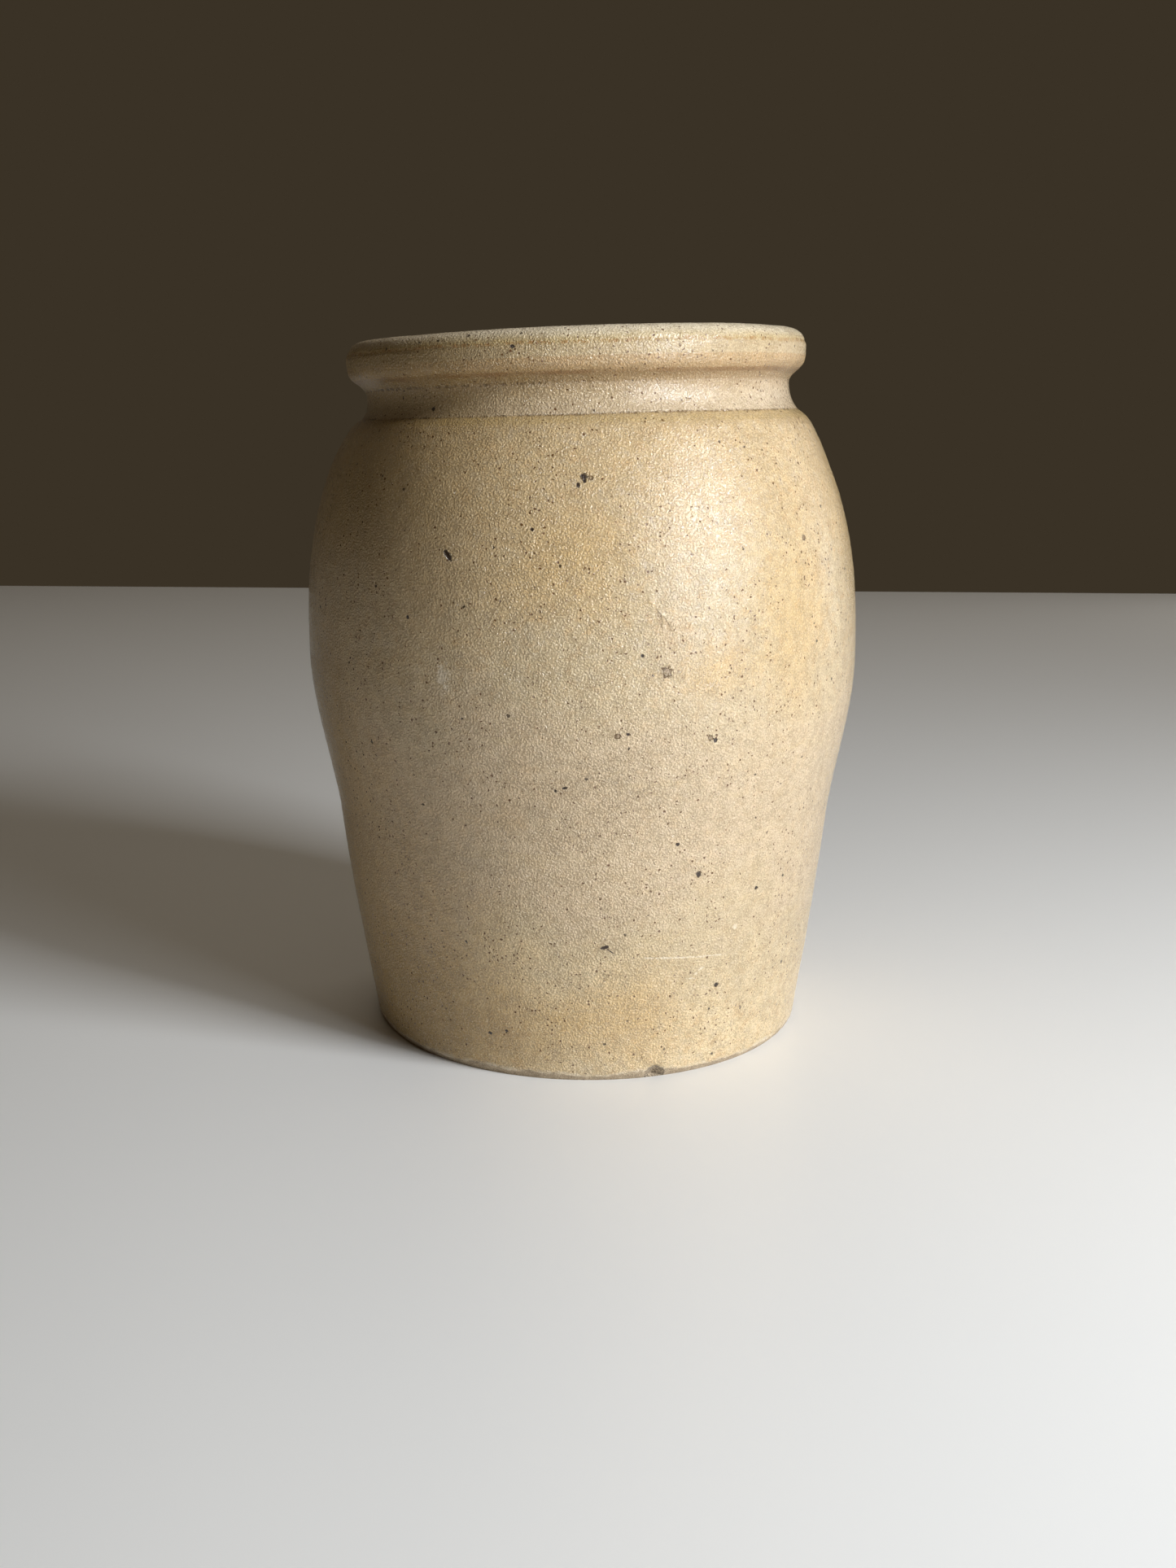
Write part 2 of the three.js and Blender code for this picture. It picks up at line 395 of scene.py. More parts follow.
def build_piece(name, skin, lanes):
    """One closed piece: its stretch of the outside, its stretch of the inside, and
    the flat joints that close it. lanes is how the outside is laid in the map."""
    nodes, inside, true, places, normals = skin
    runs = runs_of(name, nodes)
    rows = np.array([row for run in runs for row in run])
    index = np.arange(len(rows) * COLUMNS).reshape(len(rows), COLUMNS)
    row_normals = normals[rows].reshape(-1, 3)
    faces, uvs, facing = [], [], []

    ends = []
    for run, (low, high), lane in zip(runs, TWO_SHARES if len(runs) == 2 else ONE_SHARE, lanes):
        start = ends[-1][1] + 1 if ends else 0
        end = start + len(run) - 1
        ends.append((start, end))
        face = quads(index[start:end], index[start + 1:end + 1])
        faces.append(face.reshape(-1, 4))
        facing.append(row_normals[face.reshape(-1)].reshape(-1, 3))
        uvs.append(strips(end - start, low, high, lane).reshape(-1, 2))

    def joint(lower_row, upper_row, direction):
        faces.append(quads(index[lower_row], index[upper_row]).reshape(-1, 4))
        facing.append(np.tile(direction, (COLUMNS * 4, 1)))
        uvs.append(strips(1, *JOINT_SHARE, 1).reshape(-1, 2))

    if len(runs) == 2:
        joint(ends[0][1], ends[1][0], UP)
    vertices = places[rows].reshape(-1, 3)
    true_places = true[rows].reshape(-1, 3)
    inner = np.repeat(inside[rows], COLUMNS)
    face_list = []
    if name == "base_slab":
        # Its two discs close on a middle point each.
        for ring, height, direction in ((index[0], 0.0, DOWN), (index[-1], FLOOR, UP)):
            middle = np.full(COLUMNS, len(vertices))
            centre = np.array([[0.0, 0.0, height]])
            vertices = np.concatenate([vertices, settle(centre) * MM])
            true_places = np.concatenate([true_places, centre])
            inner = np.append(inner, float(height > 0))
            ahead = np.roll(ring, -1)
            around = (ring, ahead) if direction[2] > 0 else (ahead, ring)
            face_list += np.stack([*around, middle], -1).tolist()
            uvs.append(np.full((COLUMNS * 3, 2), CAP_CORNER))
            facing.append(np.tile(direction, (COLUMNS * 3, 1)))
    else:
        joint(ends[-1][1], ends[0][0], DOWN)

    mesh = bpy.data.meshes.new(name)
    mesh.from_pydata(vertices.tolist(), [], np.concatenate(faces).tolist() + face_list)
    mesh.polygons.foreach_set("use_smooth", np.ones(len(mesh.polygons), bool))
    layer = mesh.uv_layers.new(name="OFBake")
    layer.data.foreach_set("uv", np.concatenate(uvs).astype(np.float32).ravel())
    attribute = mesh.attributes.new("true_place", "FLOAT_VECTOR", "POINT")
    attribute.data.foreach_set("vector", true_places.astype(np.float32).ravel())
    attribute = mesh.attributes.new("inside", "FLOAT", "POINT")
    attribute.data.foreach_set("value", inner.astype(np.float32))
    mesh.normals_split_custom_set(np.concatenate(facing).tolist())
    mesh.update()
    piece = bpy.data.objects.new(name + "_fired", mesh)
    bpy.context.scene.collection.objects.link(piece)
    return piece


# ------------------------------------------------------------------ materials
def srgb(red, green, blue):
    """A colour from its 0 to 255 display values."""
    def linear(value):
        value /= 255
        return value / 12.92 if value <= 0.04045 else ((value + 0.055) / 1.055) ** 2.4
    return linear(red), linear(green), linear(blue), 1.0


# Tones of the glaze and the clay, and of the marks on them, among them painted shade and a painted highlight.
GOLDEN = srgb(215, 185, 138)
ORANGE_BUFF = srgb(210, 172, 124)
BUFF = srgb(214, 191, 152)
PINK_BUFF = srgb(217, 192, 157)
GREY_BUFF = srgb(181, 165, 137)
PALE_BUFF = srgb(237, 211, 166)
YELLOW_BUFF = srgb(221, 194, 146)
# Dark olive for darker glaze, and for painted shade on the jar's shaded left side.
OLIVE_AND_PAINTED_SHADE = srgb(154, 120, 46)
GREY_PINK = srgb(206, 187, 160)
YELLOW_STAIN = srgb(220, 180, 117)
OLIVE = srgb(136, 115, 82)
SHELF_OLIVE = srgb(211, 181, 125)
HOLLOW_BROWN = srgb(160, 138, 104)
PALE_GRAIN = srgb(240, 220, 181)
NECK_PINK = srgb(219, 197, 167)
# Darker pink-brown for the top of the neck and the foot of the collar: their own tone with the collar's
# shadow painted into it.
NECK_TOP_PINK_AND_PAINTED_SHADOW = srgb(166, 136, 98)
UNDERSIDE_BROWN = srgb(196, 161, 115)
BAND_PINK = srgb(201, 177, 138)
BAND_BUFF = srgb(195, 169, 116)
GROOVE_RUST = srgb(163, 122, 73)
# Pale tone for the rim's top: partly its own pale edge, partly a painted highlight.
PALE_RIM_AND_PAINTED_HIGHLIGHT = srgb(245, 230, 200)
BARE_CLAY = srgb(190, 171, 144)
BARE_GREY = srgb(146, 128, 104)
FRESH_CLAY = srgb(106, 94, 77)
SPECK = srgb(94, 58, 24)
PIT_DARK = srgb(54, 36, 18)
RUST = srgb(130, 86, 46)
# Dark brown: dirt in the ring pits, and the dirt and painted shade of the lines in the crease and under the
# collar.
DIRT_AND_SHADE_BROWN = srgb(100, 74, 44)
SOOT = srgb(112, 92, 66)
SCUFF = srgb(236, 222, 196)
INSIDE_BUFF = srgb(192, 165, 124)


class Graph:
    """Short names for the nodes that a material is built from."""

    def __init__(self, name):
        self.material = bpy.data.materials.new(name)
        self.material.use_nodes = True
        self.tree = self.material.node_tree
        self.shader = self.tree.nodes["Principled BSDF"]

    def add(self, kind, **settings):
        node = self.tree.nodes.new("ShaderNode" + kind)
        for key, value in settings.items():
            setattr(node, key, value)
        return node

    def feed(self, socket, value):
        if isinstance(value, bpy.types.NodeSocket):
            self.tree.links.new(value, socket)
        else:
            socket.default_value = value

    def math(self, operation, *values, clamp=False):
        node = self.add("Math", operation=operation, use_clamp=clamp)
        for socket, value in zip(node.inputs, values):
            self.feed(socket, value)
        return node.outputs[0]

    def total(self, *values):
        result = values[0]
        for value in values[1:]:
            result = self.math("ADD", result, value)
        return result

    def times(self, *values):
        result = values[0]
        for value in values[1:]:
            result = self.math("MULTIPLY", result, value)
        return result

    def centred(self, value, scale):
        """A 0 to 1 value moved to run evenly either side of 0."""
        return self.times(self.math("SUBTRACT", value, 0.5), scale)

    def off(self, value, middle):
        """How far a value is from the middle."""
        return self.math("ABSOLUTE", self.math("SUBTRACT", value, middle))

    def parts(self, vector):
        node = self.add("SeparateXYZ")
        self.feed(node.inputs[0], vector)
        return node.outputs

    def step(self, value, low, high, to_low=0.0, to_high=1.0):
        """to_low below low, to_high above high, smooth between. low may exceed high."""
        node = self.add("MapRange", interpolation_type="SMOOTHSTEP")
        numbers = not isinstance(low, bpy.types.NodeSocket)
        if numbers and low > high:
            low, high, to_low, to_high = high, low, to_high, to_low
        for name, number in (("Value", value), ("From Min", low), ("From Max", high),
                             ("To Min", to_low), ("To Max", to_high)):
            self.feed(node.inputs[name], number)
        return node.outputs[0]

    def mix(self, factor, first, second, blend="MIX"):
        node = self.add("Mix", data_type="RGBA", blend_type=blend)
        self.feed(node.inputs["Factor"], factor)
        self.feed(node.inputs[6], first)
        self.feed(node.inputs[7], second)
        return node.outputs[2]

    def noise(self, vector, size, detail=2.0, rough=0.5, warp=0.0):
        """Noise between 0 and 1, with lumps of about that size in mm."""
        node = self.add("TexNoise")
        self.feed(node.inputs["Vector"], vector)
        self.feed(node.inputs["Scale"], 1 / size)
        self.feed(node.inputs["Detail"], detail)
        self.feed(node.inputs["Roughness"], rough)
        self.feed(node.inputs["Distortion"], warp)
        return node.outputs["Fac"]

    def cells(self, vector, size, feature="F1", smoothness=0.0):
        node = self.add("TexVoronoi", feature=feature)
        self.feed(node.inputs["Vector"], vector)
        self.feed(node.inputs["Scale"], 1 / size)
        if feature == "SMOOTH_F1":
            self.feed(node.inputs["Smoothness"], smoothness)
        return node.outputs["Distance"], node.outputs["Color"]

    def stretch(self, vector, scale):
        node = self.add("VectorMath", operation="MULTIPLY")
        self.feed(node.inputs[0], vector)
        self.feed(node.inputs[1], scale)
        return node.outputs[0]

    def shift(self, vector, offset):
        node = self.add("VectorMath", operation="ADD")
        self.feed(node.inputs[0], vector)
        self.feed(node.inputs[1], offset)
        return node.outputs[0]

    def ramp(self, factor, stops):
        node = self.add("ValToRGB")
        self.feed(node.inputs[0], factor)
        points = node.color_ramp.elements
        points[0].position, points[0].color = stops[0]
        points[1].position, points[1].color = stops[-1]
        for position, colour in stops[1:-1]:
            points.new(position).color = colour
        return node.outputs[0]

    def spot(self, place, at, across, tall, slant=0.0, edge=0.45, ragged=None):
        """1 inside an oval spot on the outside wall and 0 beyond it. at is (degrees
        round from +X, height in mm) and the sizes are half widths in mm."""
        angle = math.radians(at[0])
        radius = wall_radius(at[1])
        node = self.add("Mapping", vector_type="TEXTURE")
        self.feed(node.inputs["Vector"], place)
        node.inputs["Location"].default_value = (radius * math.cos(angle), radius * math.sin(angle), at[1])
        node.inputs["Rotation"].default_value = (math.radians(slant), 0, angle)
        node.inputs["Scale"].default_value = (max(across, tall) * SPOT_DEPTH, across, tall)
        length = self.add("VectorMath", operation="LENGTH")
        self.feed(length.inputs[0], node.outputs[0])
        distance = length.outputs["Value"]
        if ragged is not None:
            distance = self.math("ADD", distance, ragged)
        return self.step(distance, 1.0 + edge / 2, 1.0 - edge / 2)


# The outside stretches of the outline, from the slab's wall up to the collar's band.
WALL_STRETCHES = slice(3, 14)
OUTER_PATH = np.concatenate([points for _, flag, points in outline() if not flag][WALL_STRETCHES])


def wall_radius(height):
    """Radius of the outside of the true-running jar at a height."""
    return float(np.interp(height, OUTER_PATH[:, 1], OUTER_PATH[:, 0]))


# How deep a spot reaches into the wall, in its own half widths.
SPOT_DEPTH = 1.5
# Single marks: (degrees round from +X, height), half width, half height, slant.
DARK_PITS = [
    ((-115.5, 169), 0.75, 1.9, 42), ((-89.2, 192), 1.0, 0.9, 10), ((-89.1, 191.2), 0.55, 1.1, 0),
    ((-90.3, 189.6), 0.5, 0.7, 0), ((-65.2, 70.3), 0.8, 0.9, 0), ((-85.6, 47.6), 1.2, 0.6, 20),
    ((-84.2, 46.2), 1.6, 0.16, -38), ((-58, 30.5), 0.8, 0.7, 0), ((-113.5, 14.4), 0.7, 0.5, 0),
    ((-109, 16.2), 0.5, 0.4, 0), ((-64.4, 114.3), 0.7, 0.7, 0), ((-93.4, 100.5), 0.7, 0.4, 0),
    ((-95.2, 99.6), 0.4, 0.5, 0), ((-99, 177), 0.5, 0.5, 0), ((-124, 150), 0.5, 0.5, 0),
    ((-79, 141), 0.5, 0.6, 0), ((-81.6, 117.5), 0.6, 0.5, 0), ((-70.4, 81), 0.6, 0.6, 0),
    ((-49, 62), 0.7, 0.5, 0), ((-103.5, 229.5), 0.6, 0.5, 0), ((-128, 212.6), 0.7, 0.6, 0),
    ((-126, 233.6), 0.6, 0.5, 0), ((12, 160), 0.8, 0.7, 0), ((48, 118), 0.5, 1.1, 30),
    ((95, 172), 0.7, 0.6, 0), ((133, 88), 0.8, 0.5, 0), ((160, 150), 0.5, 0.8, 0),
    ((70, 45), 0.8, 0.6, 0), ((-160, 60), 0.6, 0.6, 0), ((25, 60), 0.5, 0.8, 15),
]
RING_PITS = [
    ((-88.0, 191.8), 0.8, 0.8, 0), ((-74.5, 136), 1.6, 1.8, 20), ((-83.5, 117), 0.9, 0.8, 0),
    ((-65.5, 115.2), 0.9, 1.1, 0), ((-40.5, 173), 1.0, 0.9, 0), ((110, 130), 1.3, 1.1, 0),
    ((30, 95), 1.0, 1.2, 0),
]
PALE_SCUFFS = [
    ((-116.3, 133), 2.2, 4.2, 8), ((-69, 42.5), 11, 0.4, -5), ((-62.5, 37.5), 1.1, 0.5, 20),
    ((-65.0, 34.5), 1.4, 0.4, -10), ((-63.8, 36), 0.5, 0.6, 0), ((-60, 41.5), 4.0, 0.3, -6),
    ((-54.3, 50), 1.2, 0.8, 0), ((55, 100), 6.0, 0.8, -12), ((120, 140), 3.5, 2.4, 30),
]
SCAR_LINES = [
    ((-75.9, 152.6), 0.5, 2.2, 24), ((-74.6, 150.6), 0.5, 1.8, 34), ((-75.6, 149.8), 0.4, 1.5, 16),
    ((-74.0, 148.4), 0.9, 0.4, -15), ((64, 132), 0.5, 4.0, -25),
]
# Darker olive patches. Those from -140 to -172 degrees are painted shade on the jar's shaded left side, from
# the foot up over the neck and collar; the others are darker glaze.
OLIVE_AND_PAINTED_SHADE_PATCHES = [
    ((-152, 188), 44, 24, 0), ((-162, 125), 30, 22, 0), ((-172, 70), 34, 80, 0), ((-142, 215), 62, 7.5, 0),
    ((-150, 230), 50, 10, 0), ((-140, 14), 40, 22, 0), ((-12, 172), 16, 40, 0), ((85, 190), 50, 18, 0),
    ((60, 228), 40, 7, 0),
]
YELLOW_PATCHES = [
    ((-150, 62), 36, 62, 0), ((-84, 18), 19, 10, -8), ((-76, 27), 12, 12, -35), ((-128, 22), 34, 28, 0),
    ((-90, 172), 13, 9, 0), ((-45, 150), 14, 26, 0), ((-94, 160), 16, 10, 0), ((-118, 170), 27, 24, 0),
    ((-64, 135), 12, 6, 10), ((20, 40), 24, 14, 20), ((85, 150), 22, 18, 0), ((165, 120), 18, 22, 0),
]
# Greyer patches: the one at -128 degrees is painted shade on the shaded left shoulder, the other grey glaze.
GREY_AND_PAINTED_SHADE_PATCHES = [((-128, 170), 38, 24, 0), ((140, 60), 24, 18, 0)]
SOOTY_PATCHES = [
    ((-84, 101), 15, 9, -10), ((-92, 88), 13, 8, 15), ((-87, 37), 12, 8, 0), ((75, 95), 20, 14, 20),
    ((150, 55), 16, 11, -15),
]
CHIP = ((CHIP_ANGLE, 0.9), 3.3, 3.3, 0)
CHIP_REACH = 5

# Sizes of the patterns, in mm.
PEEL_SIZE, PEEL_CRUMPLE = 0.72, 0.7
GRAIN_SIZE = 0.48
FINE_SPECK_CELL, BIG_SPECK_CELL = 1.3, 4.6
# The largest specks' radius, as a share of their cell.
FINE_SPECK_LARGEST, BIG_SPECK_LARGEST = 0.31, 0.125
BARE_BELOW = 2.1
RUSTY_GROOVE = BAND_GROOVE + 0.1

# How far each kind of mark stands out of the surface, in mm.
STAND_OUT = {
    "peel": -0.12, "grain": 0.16, "mottle": 0.12, "wiped": -0.06, "soot_grain": -0.06, "specks": -0.03,
    "big_specks": -0.10, "pits": -0.5, "rings": -0.2, "scars": -0.25, "dirt_and_shade": -0.15, "torn_chip": 0.8,
}
# How much rougher each kind of mark makes the gloss.
DULLING = {
    "bare": 0.45, "soot": 0.14, "pits": 0.25, "all_specks": 0.08, "scratches": 0.2, "chip": 0.5,
    "neck": -0.05,
}
MOTTLE_DULLING, CLOUD_DULLING = 0.14, 0.16
GLAZE_SPECULAR = 0.72


class Glaze(Graph):
    """Salt glaze for the stretch of wall between two heights. All stretches share
    one pattern, so it runs on from each piece to the next."""

    def __init__(self, name, low, high, roughness):
        super().__init__(name)
        self.low, self.high = low, high
        self.place = self.add("Attribute", attribute_name="true_place").outputs["Vector"]
        self.across, _, self.height = self.parts(self.place)
        self.inside = self.add("Attribute", attribute_name="inside").outputs["Fac"]
        self.outside = self.math("SUBTRACT", 1.0, self.inside)
        self.mask = {}
        self.patterns()
        self.colour = None
        self.broad_colour()
        self.zone_colours()
        self.peel_colours()
        self.iron_specks()
        self.dirt_and_shade_lines()
        self.bare_foot()
        self.single_marks()
        self.feed(self.shader.inputs["Base Color"], self.colour)
        self.gloss(roughness)
        self.fine_relief()

    def paint(self, tone, where, strength=None):
        """Lays a tone over the colour so far."""
        factor = where if strength is None else self.times(where, strength)
        self.colour = self.mix(factor, self.colour, tone)

    def near(self, marks):
        """The marks that reach this stretch of heights."""
        reach = 1.6
        return [mark for mark in marks
                if self.low - mark[2] * reach < mark[0][1] < self.high + mark[2] * reach]

    def gather(self, marks, edge, ragged=None):
        """1 inside any of these marks and 0 outside them."""
        found = 0.0
        for mark in self.near(marks):
            found = self.math("MAXIMUM", found, self.spot(self.place, *mark, edge, ragged))
        return found

    def flushes(self, tone, strength, marks, edge, waver):
        """Lays a tone over wide patches with soft, wavering edges."""
        for mark in self.near(marks):
            self.paint(tone, self.spot(self.place, *mark, edge, self.centred(self.blotches, waver)), strength)

    def patterns(self):
        """The noises that several layers share, from the widest to the finest."""
        place = self.place
        self.clouds = self.noise(place, 42, 3, 0.55)
        self.blotches = self.noise(self.shift(place, (90, 40, 10)), 15, 3, 0.6)
        self.mottle = self.noise(self.shift(place, (5, 70, 30)), 4.2, 3, 0.6)
        self.grain = self.noise(place, GRAIN_SIZE, 2, 0.6, 0.3)
        self.mask["mottle"], self.mask["grain"] = self.mottle, self.grain
        crumple = self.add("TexNoise")
        self.feed(crumple.inputs["Vector"], place)
        crumple.inputs["Scale"].default_value = 1 / PEEL_CRUMPLE
        crumple.inputs["Detail"].default_value = 1.0
        self.crumple = self.shift(crumple.outputs["Color"], (-0.5, -0.5, -0.5))
        # Orange peel: rounded bumps about 1 mm across, with narrow hollows between.
        peel, _ = self.cells(self.crumpled(0.8), PEEL_SIZE, "SMOOTH_F1", 0.3)
        self.hollow = self.step(peel, 0.30, 0.62)

    def crumpled(self, amount):
        """The place, pushed about by up to half this amount in mm."""
        return self.shift(self.place, self.stretch(self.crumple, (amount, amount, amount)))

    def broad_colour(self):
        """Colour by height, with its borders pushed about, and wide flushes, one of them painted shade on the
        shaded left shoulder.
        """
        wavering = self.total(self.height, self.centred(self.clouds, 90.0), self.centred(self.blotches, 30.0))
        self.colour = self.ramp(self.math("DIVIDE", wavering, HEIGHT), [
            (0.02, PALE_BUFF), (0.11, PALE_BUFF), (0.20, BUFF), (0.28, PINK_BUFF), (0.46, PINK_BUFF),
            (0.58, BUFF), (0.68, BUFF), (0.80, GOLDEN), (0.94, GOLDEN)])
        streaks = self.noise(self.stretch(self.place, (0.12, 0.12, 1.0)), 5, 3, 0.6)
        self.paint(GREY_BUFF, self.step(self.blotches, 0.50, 0.74, 0.0, 0.22))
        self.paint(ORANGE_BUFF, self.step(self.clouds, 0.40, 0.24, 0.0, 0.5))
        self.paint(YELLOW_BUFF, self.step(streaks, 0.5, 0.75, 0.0, 0.35))
        # Small tints, livelier at the foot and the shoulder than on the belly.
        tint = self.noise(self.shift(self.place, (31, 7, 11)), 3.2, 3, 0.6)
        lively = self.step(self.off(self.height, KINK + 2), 30, 75, 0.35, 1.0)
        self.paint(ORANGE_BUFF, self.step(tint, 0.48, 0.70, 0.0, 0.6), lively)
        self.paint(GREY_PINK, self.step(tint, 0.48, 0.28, 0.0, 0.5), lively)
        self.flushes(YELLOW_STAIN, 0.5, YELLOW_PATCHES, 1.6, 1.6)
        # Partly painted shade: darkens the left shoulder.
        self.flushes(GREY_BUFF, 0.38, GREY_AND_PAINTED_SHADE_PATCHES, 1.6, 1.2)

    def zone_colours(self):
        """Shoulder edge, neck and collar, each with its own tone, and the inside; the collar's shadow is
        painted on the top of the neck, shade on the shaded left side, and a highlight along the rim's top.
        """
        height = self.height
        line = self.math("ADD", height, self.centred(self.blotches, 1.4))
        above = self.step(line, CREASE - 3.0, CREASE - 2.0)
        self.paint(SHELF_OLIVE, self.times(above, self.step(height, CREASE + 0.3, CREASE - 0.2)), 0.75)
        self.paint(NECK_PINK, self.step(height, CREASE - 0.2, CREASE + 0.5))
        # Painted shadow of the collar: the neck darkens towards it.
        self.paint(NECK_TOP_PINK_AND_PAINTED_SHADOW, self.step(line, CREASE + 3.8, COLLAR, 0.0, 0.65))
        self.paint(NECK_TOP_PINK_AND_PAINTED_SHADOW, self.step(height, COLLAR - 0.6, COLLAR + 0.4))
        self.paint(UNDERSIDE_BROWN, self.step(line, UNDERSIDE - 0.3, UNDERSIDE + 1.6))
        self.paint(BAND_PINK, self.step(height, BAND_LOW - 0.5, BAND_LOW + 0.3))
        self.paint(BAND_BUFF, self.step(line, BAND_LOW + 2.6, BAND_LOW + 5.0))
        wipes = self.noise(self.stretch(self.place, (0.07, 0.07, 1.0)), 0.9, 2, 0.6)
        wiped = self.times(self.step(wipes, 0.52, 0.75), self.step(height, COLLAR, COLLAR + 2.0))
        self.mask["wiped"] = wiped
        self.paint(UNDERSIDE_BROWN, wiped, 0.35)
        # Painted highlight along the rim's top, over its pale edge.
        self.paint(PALE_RIM_AND_PAINTED_HIGHLIGHT, self.step(line, HEIGHT - 4.6, HEIGHT - 1.2, 0.0, 0.85))
        # Painted shade on the shaded left side, and darker glaze elsewhere.
        self.flushes(OLIVE_AND_PAINTED_SHADE, 0.6, OLIVE_AND_PAINTED_SHADE_PATCHES, 1.7, 0.8)
        self.paint(INSIDE_BUFF, self.inside)

    def peel_colours(self):
        """The grain of the peel: brown in the hollows, pale on the bumps."""
        depth = self.times(self.hollow, self.step(self.mottle, 0.25, 0.7, 0.35, 0.85))
        self.paint(HOLLOW_BROWN, depth, 0.6)
        self.paint(PALE_GRAIN, self.step(self.grain, 0.54, 0.72, 0.0, 0.62))
        self.paint(OLIVE, self.step(self.grain, 0.46, 0.29, 0.0, 0.6))
        self.paint(OLIVE, self.step(self.mottle, 0.35, 0.72, 0.0, 0.14))

    def iron_specks(self):
        """Specks in two sizes, the fine ones thicker in some places than in others."""
        crooked = self.crumpled(0.9)
        uneven = self.centred(self.noise(self.place, 0.32, 1), 0.16)
        crowd = self.step(self.noise(self.shift(self.place, (20, 10, 60)), 26, 2), 0.38, 0.64, 0.10, 0.75)
        fine, fine_cell = self.cells(crooked, FINE_SPECK_CELL)
        chance = self.step(self.parts(fine_cell)[0], self.math("SUBTRACT", 1.0, crowd), 1.0)
        size = self.times(chance, FINE_SPECK_LARGEST)
        specks = self.step(self.total(fine, uneven, self.times(size, -1.0)), 0.02, -0.06)
        big, big_cell = self.cells(self.shift(crooked, (3, 8, 5)), BIG_SPECK_CELL)
        size = self.times(self.step(self.parts(big_cell)[1], 0.55, 1.0), BIG_SPECK_LARGEST)
        outline = self.total(big, self.times(uneven, 0.5), self.times(size, -1.0))
        big_specks = self.step(outline, 0.012, -0.02)
        self.paint(SPECK, specks, 0.9)
        self.paint(PIT_DARK, big_specks, 0.85)
        self.mask["specks"], self.mask["big_specks"] = specks, big_specks
        self.mask["all_specks"] = self.math("MAXIMUM", specks, big_specks)

    def band_at(self, middle, half, fade):
        """A ring round the jar at a height, with its edges pushed about by fade."""
        return self.step(self.off(self.math("ADD", self.height, fade), middle), half, half * 0.3)

    def dirt_and_shade_lines(self):
        """Dark lines in the crease and under the collar, partly dirt and partly painted
        shade, the one under the collar heavier on the shaded left side; a brown line on the
        collar's underside; and rust in the groove round its band."""
        dashes = self.noise(self.stretch(self.place, (0.5, 0.5, 0.0)), 1.2, 4, 0.75)
        broken = self.step(dashes, 0.42, 0.60)
        lengths = self.noise(self.stretch(self.place, (1.0, 1.0, 0.0)), 22, 2)
        patchy = self.step(lengths, 0.40, 0.62)
        ragged = self.centred(self.grain, 0.9)
        packed = self.math("ADD", 0.15, self.times(broken, 0.8))
        # The crease line is partly dirt and partly painted shade.
        crease = self.times(self.band_at(CREASE + 0.1, 0.42, ragged), packed)
        # Painted shade: the line under the collar is heavier on the left, the jar's shaded side.
        left = self.step(self.across, 25, -15, 0.1, 1.0)
        under = self.times(self.band_at(COLLAR, 0.5, ragged), self.times(broken, left))
        waver = self.total(ragged, self.centred(self.blotches, 1.0))
        stained = self.math("ADD", 0.2, self.times(patchy, 0.5))
        brown = self.times(self.band_at(UNDERSIDE + 0.6, 0.9, waver), stained)
        dirt_and_shade = self.times(self.math("MAXIMUM", crease, under), self.outside)
        self.mask["dirt_and_shade"] = dirt_and_shade
        self.paint(DIRT_AND_SHADE_BROWN, dirt_and_shade, 0.7)
        self.paint(RUST, self.times(brown, self.outside), 0.7)
        waver = self.total(ragged, self.centred(self.blotches, 2.0))
        groove = self.times(self.band_at(RUSTY_GROOVE, 0.7, waver), self.times(broken, self.outside))
        self.paint(GROOVE_RUST, groove, 0.8)

    def bare_foot(self):
        """The bare foot and underside, with a pale worn edge where the glaze stops."""
        edge = self.total(self.height, self.centred(self.blotches, 5.0), self.centred(self.mottle, 1.6),
                          self.centred(self.grain, 1.0))
        bare = self.times(self.step(edge, BARE_BELOW + 0.8, BARE_BELOW), self.outside)
        worn = self.times(self.step(self.off(edge, BARE_BELOW + 0.7), 0.9, 0.2), self.outside)
        texture = self.step(self.total(self.grain, self.centred(self.mottle, 0.7)), 0.36, 0.66)
        self.paint(self.mix(texture, BARE_GREY, BARE_CLAY), bare, 0.85)
        self.paint(SCUFF, self.times(worn, self.step(self.mottle, 0.42, 0.66, 0.05, 0.5)))
        self.mask["bare"] = bare

    def single_marks(self):
        """Pits, scuffs, scar lines, sooty patches and the chip, each in its place."""
        jagged = self.centred(self.noise(self.place, 0.8, 3, 0.7), 2.2)
        torn = self.times(self.math("SUBTRACT", self.noise(self.place, 1.3, 3, 0.7), 0.42), 3.2)
        pits = self.gather(DARK_PITS, 0.5, jagged)
        scratches = self.gather(PALE_SCUFFS, 1.2, torn)
        scars = self.gather(SCAR_LINES, 0.9, jagged)
        soot = self.gather(SOOTY_PATCHES, 1.5)
        soot_grain = self.times(soot, self.step(self.noise(self.place, 1.6, 3, 0.7), 0.47, 0.66))
        rings = 0.0
        for at, wide, tall, slant in self.near(RING_PITS):
            whole = self.spot(self.place, at, wide, tall, slant, 0.4, jagged)
            middle = self.spot(self.place, at, wide * 0.6, tall * 0.6, slant, 0.6, jagged)
            ring = self.math("SUBTRACT", whole, self.times(middle, 0.45), clamp=True)
            rings = self.math("MAXIMUM", rings, ring)
        self.paint(RUST, scars, 0.2)
        self.paint(SOOT, soot_grain, 0.30)
        self.paint(SCUFF, scratches, 0.62)
        self.paint(DIRT_AND_SHADE_BROWN, rings, 0.95)
        self.paint(PIT_DARK, pits)
        chip = 0.0
        if self.low < CHIP_REACH:
            chip = self.spot(self.place, *CHIP, 0.35, self.times(jagged, 0.4))
            self.paint(self.mix(self.step(self.grain, 0.35, 0.65), FRESH_CLAY, BARE_CLAY), chip)
